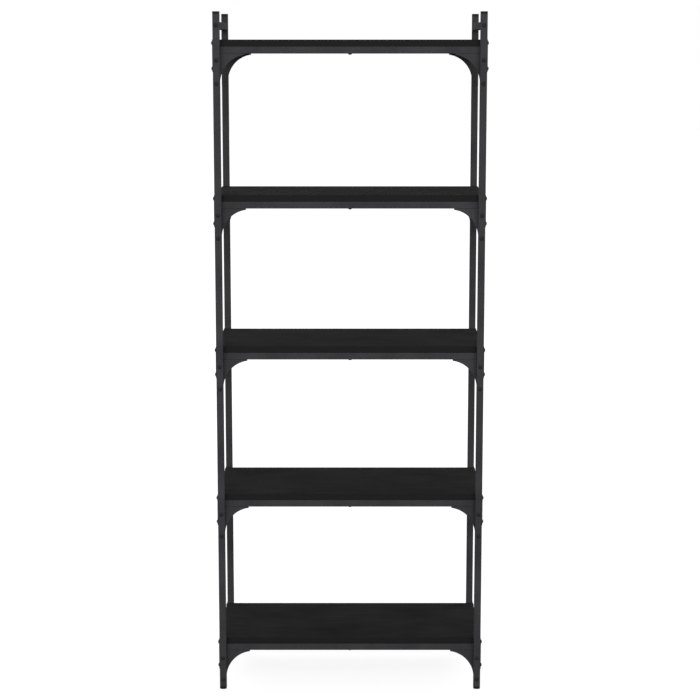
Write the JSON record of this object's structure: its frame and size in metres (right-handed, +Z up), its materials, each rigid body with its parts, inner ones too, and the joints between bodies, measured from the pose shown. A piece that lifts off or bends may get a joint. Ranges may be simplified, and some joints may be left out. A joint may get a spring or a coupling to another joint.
{
  "type": "bookcase",
  "caption": "Tall open bookcase with flat boards on a slim square-tube steel frame, curved corner gussets and arched side plates, standing on the floor to hold books.",
  "frame": {"origin": "on the floor, under the middle of the bookcase", "axes": "+Z up, +X to the right as seen from the front, +Y from the front to the back"},
  "size_m": [0.6054, 0.3056, 1.535],
  "materials": {
    "frame": "matt black powder coat",
    "board": "black melamine on chipboard",
    "plug": "moulded black polyethylene",
    "fastener": "black zinc plate"
  },
  "bodies": {
    "root": {"board_screws": "fastener", "cap_front_left": "plug", "cap_front_right": "plug", "cap_rear_left": "plug", "cap_rear_right": "plug", "foot_front_left": "plug", "foot_front_right": "plug", "foot_rear_left": "plug", "foot_rear_right": "plug", "front_gussets_1": "frame", "front_gussets_2": "frame", "front_gussets_3": "frame", "front_gussets_4": "frame", "front_gussets_5": "frame", "front_rail_1": "frame", "front_rail_2": "frame", "front_rail_3": "frame", "front_rail_4": "frame", "front_rail_5": "frame", "gusset_bolts": "fastener", "post_front_left": "frame", "post_front_right": "frame", "post_rear_left": "frame", "post_rear_right": "frame", "rear_gussets_1": "frame", "rear_gussets_2": "frame", "rear_gussets_3": "frame", "rear_gussets_4": "frame", "rear_gussets_5": "frame", "rear_rail_1": "frame", "rear_rail_2": "frame", "rear_rail_3": "frame", "rear_rail_4": "frame", "rear_rail_5": "frame", "shelf_board_1": "board", "shelf_board_2": "board", "shelf_board_3": "board", "shelf_board_4": "board", "shelf_board_5": "board", "side_plate_bolts": "fastener", "side_plate_left_1": "frame", "side_plate_left_2": "frame", "side_plate_left_3": "frame", "side_plate_left_4": "frame", "side_plate_left_5": "frame", "side_plate_right_1": "frame", "side_plate_right_2": "frame", "side_plate_right_3": "frame", "side_plate_right_4": "frame", "side_plate_right_5": "frame", "top_bar_bolts": "fastener", "top_bar_inserts": "fastener", "top_bar_left": "frame", "top_bar_right": "frame"}
  },
  "joints": []
}
